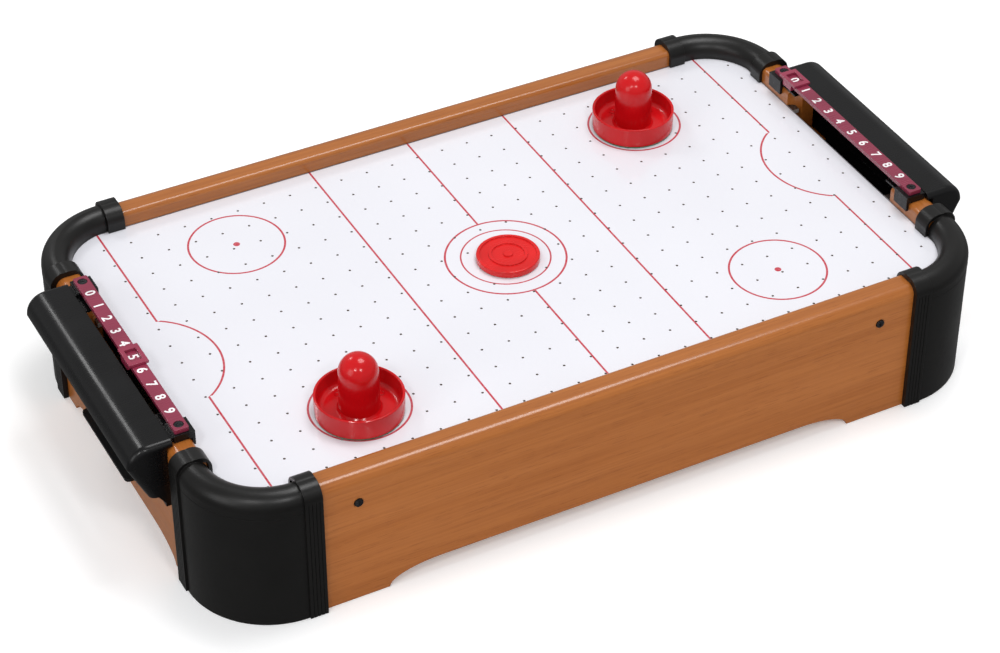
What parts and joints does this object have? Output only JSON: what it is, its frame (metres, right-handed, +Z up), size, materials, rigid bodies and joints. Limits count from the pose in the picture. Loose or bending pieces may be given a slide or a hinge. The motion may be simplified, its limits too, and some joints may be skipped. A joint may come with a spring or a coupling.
{
  "type": "tabletop air hockey table",
  "caption": "Tabletop air hockey table with a perforated playing deck, wood side boards, black corner guards, goal boxes, score bars with sliders, pushers and a puck.",
  "frame": {"origin": "on the floor under the middle of the table", "axes": "+X along the table's length towards the right goal, +Y towards the rear board, +Z up"},
  "size_m": [0.557, 0.311, 0.1204],
  "materials": {
    "deck_white": "gloss print",
    "raw_board": "matte",
    "oak_print": "satin",
    "pine": "matte",
    "black_plastic": "satin",
    "black_gloss_plastic": "satin gloss",
    "maroon_plastic": "satin gloss",
    "red_plastic": "gloss",
    "white_plastic": "satin",
    "green_felt": "matte",
    "black_steel": "satin",
    "zinc_steel": "satin",
    "cell_jacket": "gloss",
    "wire_rubber": "satin"
  },
  "bodies": {
    "table": {"deck": "deck_white", "base_board": "raw_board", "front_board": "oak_print", "rear_board": "oak_print", "left_end_board": "oak_print", "right_end_board": "oak_print", "guard_front_left": "black_plastic", "guard_front_right": "black_plastic", "guard_rear_left": "black_plastic", "guard_rear_right": "black_plastic", "left_goal_box": "black_gloss_plastic", "right_goal_box": "black_gloss_plastic", "left_puck_tray": "black_plastic", "right_puck_tray": "black_plastic", "left_score_bar": "maroon_plastic", "right_score_bar": "maroon_plastic", "score_bar_screws": "black_steel", "side_board_screws": "black_steel", "goal_box_screws": "black_steel", "guard_screws": "black_steel", "left_batten": "pine", "right_batten": "pine", "fan_duct": "black_plastic", "inlet_grille": "black_plastic", "fan_screws": "black_steel", "motor": "zinc_steel", "battery_box": "black_plastic", "battery_box_screws": "black_steel", "battery_contacts": "zinc_steel", "switch_body": "black_plastic", "cell_1": "cell_jacket", "cell_2": "cell_jacket", "cell_3": "cell_jacket", "cell_4": "cell_jacket", "wire_battery_to_motor": "wire_rubber", "wire_battery_to_switch": "wire_rubber", "wire_switch_to_motor": "wire_rubber"},
    "left_score": {"left_score_slider": "maroon_plastic"},
    "right_score": {"right_score_slider": "maroon_plastic"},
    "left_mallet": {"left_pusher": "red_plastic", "left_felt_pad": "green_felt"},
    "right_mallet": {"right_pusher": "red_plastic", "right_felt_pad": "green_felt"},
    "loose_puck": {"puck": "red_plastic"},
    "fan_rotor": {"motor_shaft": "zinc_steel", "impeller": "white_plastic"},
    "battery_hatch": {"battery_door": "black_plastic"},
    "power_switch": {"switch_slider": "white_plastic"}
  },
  "joints": [
    {"name": "left_score_slide", "type": "slide", "parent": "table", "child": "left_score", "axis": [0, 1, 0], "range_m": [-0.054, 0.0675]},
    {"name": "right_score_slide", "type": "slide", "parent": "table", "child": "right_score", "axis": [0, 1, 0], "range_m": [-0.1215, 0]},
    {"name": "left_pusher_slide", "type": "slide", "parent": "table", "child": "left_mallet", "axis": [0, 1, 0], "range_m": [-0.018, 0.2]},
    {"name": "right_pusher_slide", "type": "slide", "parent": "table", "child": "right_mallet", "axis": [0, 1, 0], "range_m": [-0.1955, 0.0225]},
    {"name": "puck_slide", "type": "slide", "parent": "table", "child": "loose_puck", "axis": [1, 0, 0], "range_m": [-0.217, 0.217]},
    {"name": "fan_spin", "type": "hinge", "parent": "table", "child": "fan_rotor", "pos_m": [0, 0, 0.03], "axis": [0, 0, 1], "continuous": true},
    {"name": "battery_door_slide", "type": "slide", "parent": "table", "child": "battery_hatch", "axis": [1, 0, 0], "range_m": [0, 0.05]},
    {"name": "power_switch_slide", "type": "slide", "parent": "table", "child": "power_switch", "axis": [0, 1, 0], "range_m": [0, 0.004]}
  ]
}
